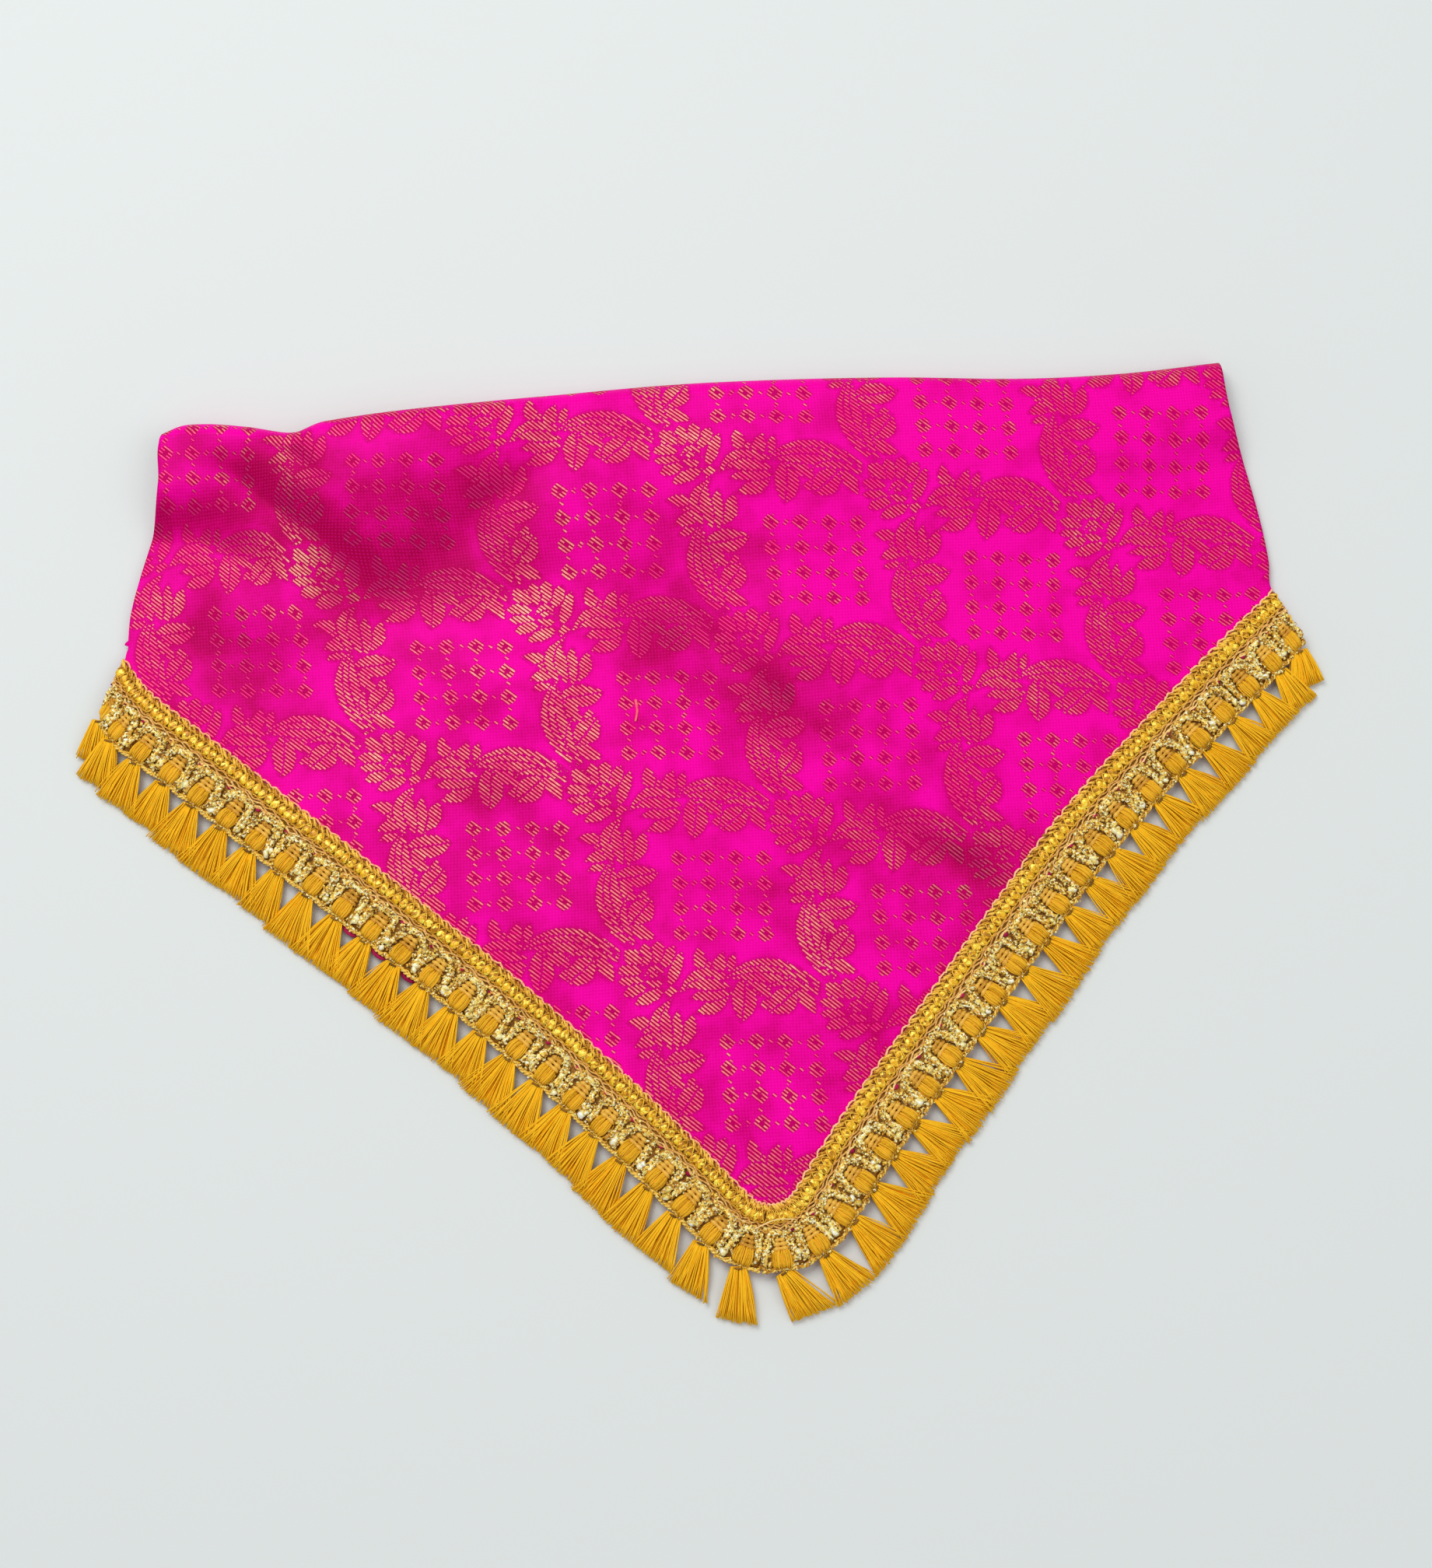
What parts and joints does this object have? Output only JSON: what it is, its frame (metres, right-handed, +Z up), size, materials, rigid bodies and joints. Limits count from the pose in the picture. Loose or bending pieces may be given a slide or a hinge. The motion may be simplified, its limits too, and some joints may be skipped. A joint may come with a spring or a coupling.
{
  "type": "bandana",
  "caption": "Slip-on pet bandana laid flat: a brocade pentagon with a collar channel along its top and tasselled lace round its lower edges.",
  "frame": {"origin": "middle of the footprint, on the surface that the bandana lies on", "axes": "+Z up; +X along the top edge, to the right as the front is seen; -Y towards the point"},
  "size_m": [0.3249, 0.2438, 0.0113],
  "materials": {
    "brocade": "hot pink silk with a woven copper-gold pattern",
    "lining": "plain deep pink lining cloth",
    "foil_braid": "shiny gold foil thread",
    "glitter_lace": "pale gold glitter cord",
    "yarn": "matt mustard yarn"
  },
  "bodies": {
    "root": {"front_panel": "brocade", "back_panel": "lining", "braid_left": "foil_braid", "braid_right": "foil_braid", "lace_left": "glitter_lace", "lace_right": "glitter_lace", "tassels_left": "yarn", "tassels_right": "yarn"}
  },
  "joints": []
}
